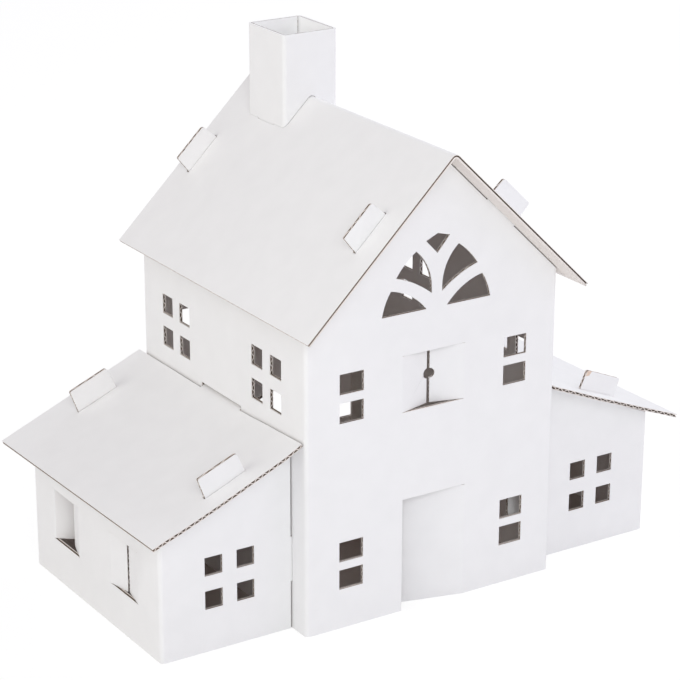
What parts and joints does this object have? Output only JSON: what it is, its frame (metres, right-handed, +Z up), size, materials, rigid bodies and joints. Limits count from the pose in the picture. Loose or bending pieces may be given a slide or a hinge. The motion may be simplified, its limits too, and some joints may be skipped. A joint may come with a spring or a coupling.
{
  "type": "paper house model",
  "caption": "Slot-together white cardboard play house with a gabled roof, cut-out windows, hinged door flaps, a chimney and a lean-to annex on each side.",
  "frame": {"origin": "on the ground under the middle of the whole house, level with the walls' bottom edges", "axes": "+Z up, the front wall with the door faces -Y, +X to the right as seen from the front"},
  "size_m": [0.4458, 0.2662, 0.3861],
  "materials": {
    "board": "matt white-faced corrugated board"
  },
  "bodies": {
    "root": {"main_walls": "board", "main_roof": "board", "chimney": "board", "left_annex_walls": "board", "left_annex_roof": "board", "right_annex_walls": "board", "right_annex_roof": "board"}
  },
  "joints": []
}
